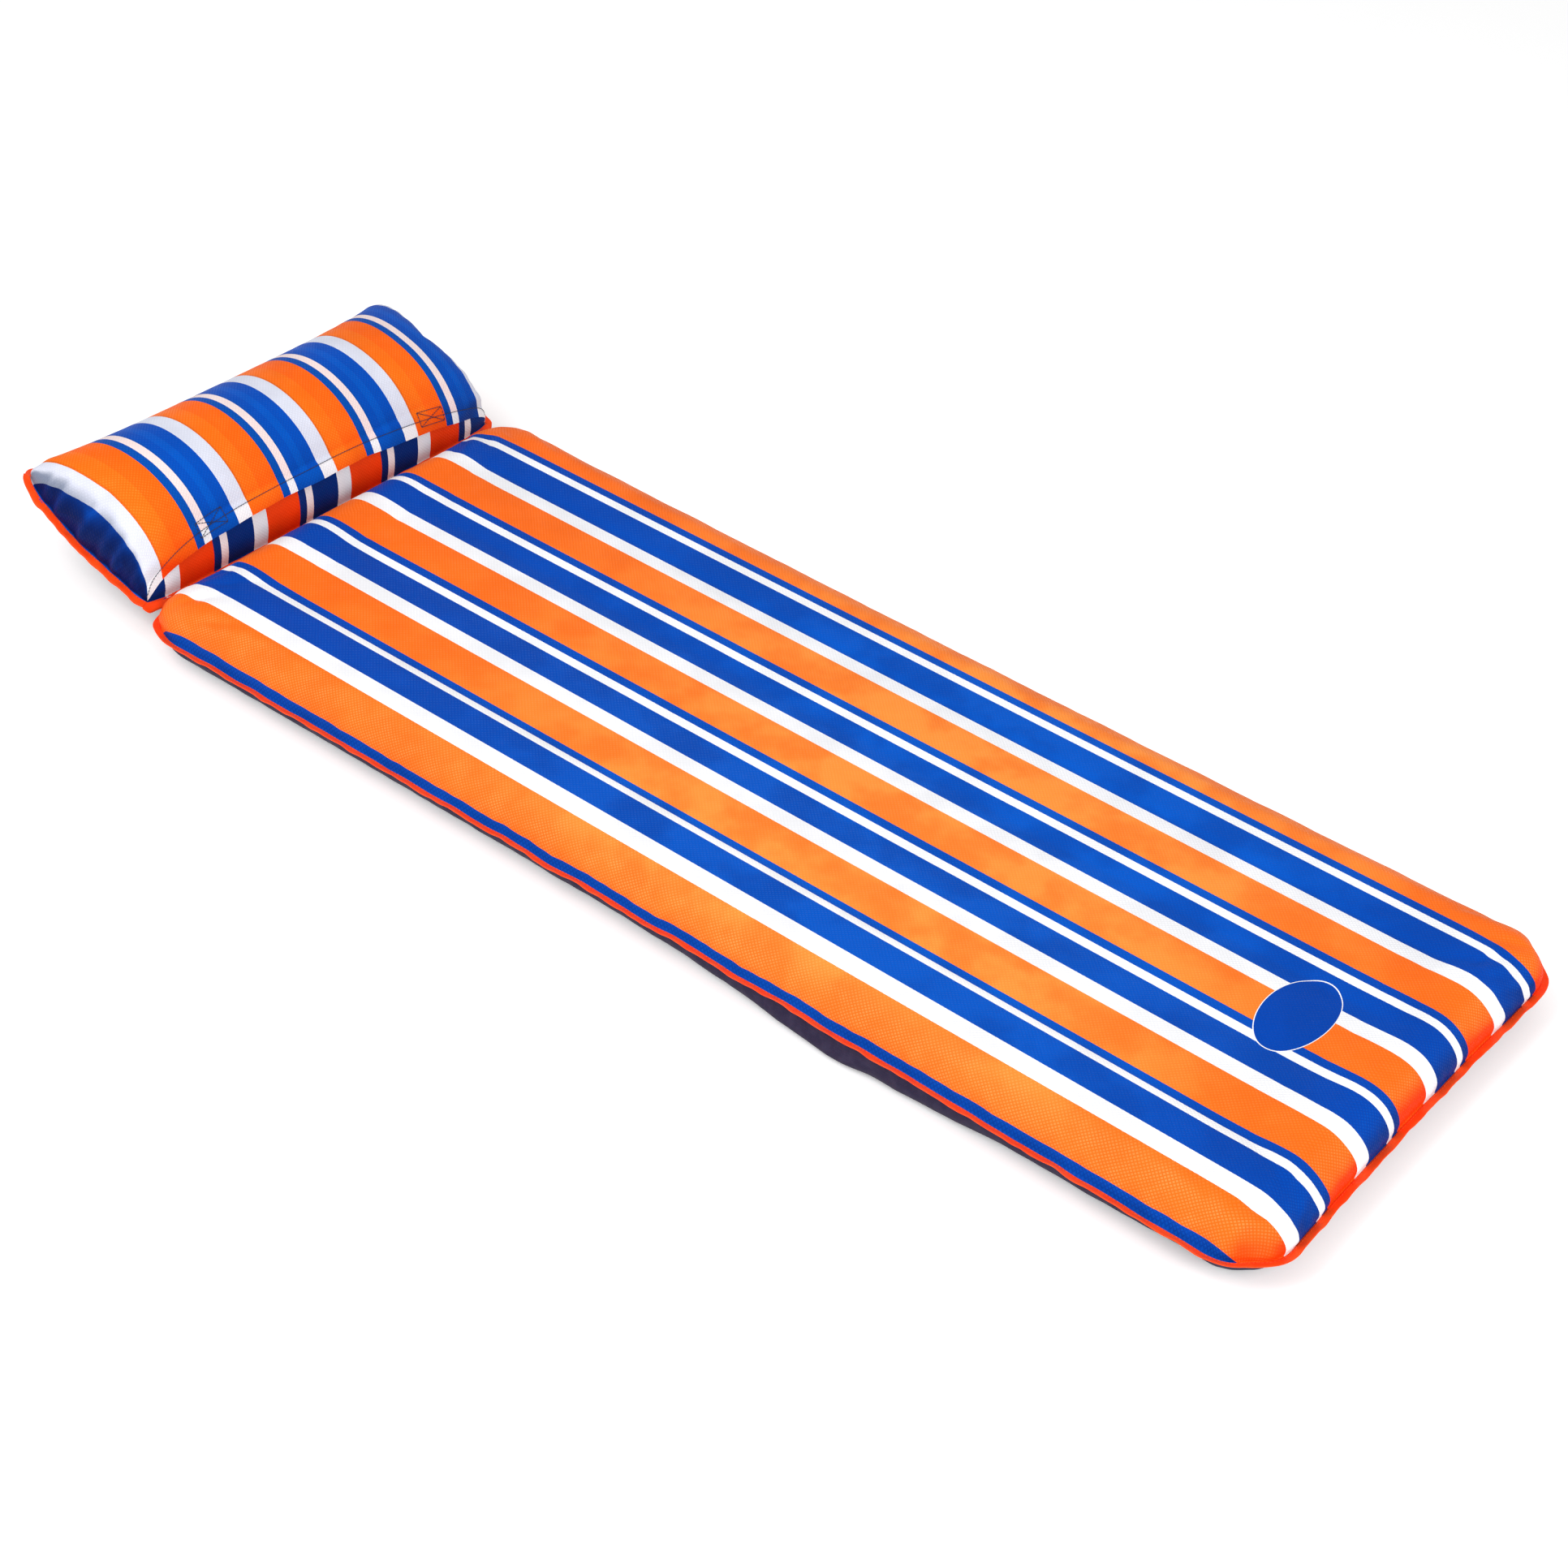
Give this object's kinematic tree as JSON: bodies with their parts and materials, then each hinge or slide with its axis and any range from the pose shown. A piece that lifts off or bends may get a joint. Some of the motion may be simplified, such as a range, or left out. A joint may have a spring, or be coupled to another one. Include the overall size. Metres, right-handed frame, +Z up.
{
  "type": "pool float",
  "caption": "Fabric-covered inflatable lounger: a flat air mattress with a sewn-on, folding pillow at its head, soft valves and an open-edged pillow flap held by hook and loop tabs.",
  "frame": {"origin": "on the floor under the middle of the whole float's bounding box", "axes": "+Z up, +Y along the float towards the pillow, +X across it towards the valve side"},
  "size_m": [0.6788, 1.9022, 0.1833],
  "materials": {
    "printed_fabric": "woven polyester with printed stripes, satin",
    "plain_fabric": "woven polyester, matte",
    "binding_tape": "woven tape, matte",
    "air_film": "soft vinyl film, satin",
    "soft_valve": "moulded soft vinyl",
    "hook_and_loop": "hook and loop tape"
  },
  "bodies": {
    "mattress": {"mattress_top_panel": "printed_fabric", "mattress_bottom_panel": "plain_fabric", "mattress_binding": "binding_tape", "mattress_air_chamber": "air_film", "chamber_web_1": "air_film", "chamber_web_2": "air_film", "chamber_web_3": "air_film", "chamber_web_4": "air_film", "mattress_valve_body": "soft_valve", "pillow_hinge_tape": "binding_tape"},
    "mattress_leaf": {"mattress_valve_leaf": "soft_valve"},
    "mattress_plug": {"mattress_valve_plug": "soft_valve"},
    "pillow": {"pillow_outer_panel": "printed_fabric", "pillow_inner_panel": "printed_fabric", "pillow_back_panel": "plain_fabric", "pillow_binding": "binding_tape", "pillow_air_chamber": "air_film", "pillow_valve_body": "soft_valve", "loop_tab_left": "hook_and_loop", "loop_tab_right": "hook_and_loop"},
    "flap": {"pillow_flap": "printed_fabric", "hook_tab_left": "hook_and_loop", "hook_tab_right": "hook_and_loop"},
    "pillow_leaf": {"pillow_valve_leaf": "soft_valve"},
    "pillow_plug": {"pillow_valve_plug": "soft_valve"}
  },
  "joints": [
    {"name": "pillow_fold", "type": "hinge", "parent": "mattress", "child": "pillow", "pos_m": [0.012, 0.69971, 0.042], "axis": [1, 0, 0], "range_deg": [-30, 44]},
    {"name": "flap_lift", "type": "hinge", "parent": "pillow", "child": "flap", "pos_m": [0.012, 0.72008, 0.12426], "axis": [-1, 0, 0], "range_deg": [0, 90]},
    {"name": "mattress_plug_pull", "type": "slide", "parent": "mattress", "child": "mattress_plug", "axis": [0.8874, 0, -0.461], "range_m": [0, 0.015]},
    {"name": "mattress_leaf_swing", "type": "hinge", "parent": "mattress", "child": "mattress_leaf", "pos_m": [0.31948, 0.42081, 0.03275], "axis": [0, 1, 0], "range_deg": [0, 50]},
    {"name": "pillow_plug_pull", "type": "slide", "parent": "pillow", "child": "pillow_plug", "axis": [0.0497, 0.9188, -0.3915], "range_m": [0, 0.015]},
    {"name": "pillow_leaf_swing", "type": "hinge", "parent": "pillow", "child": "pillow_leaf", "pos_m": [0.16856, 0.93307, 0.05985], "axis": [-0.9985, 0.0541, 0], "range_deg": [0, 50]}
  ]
}
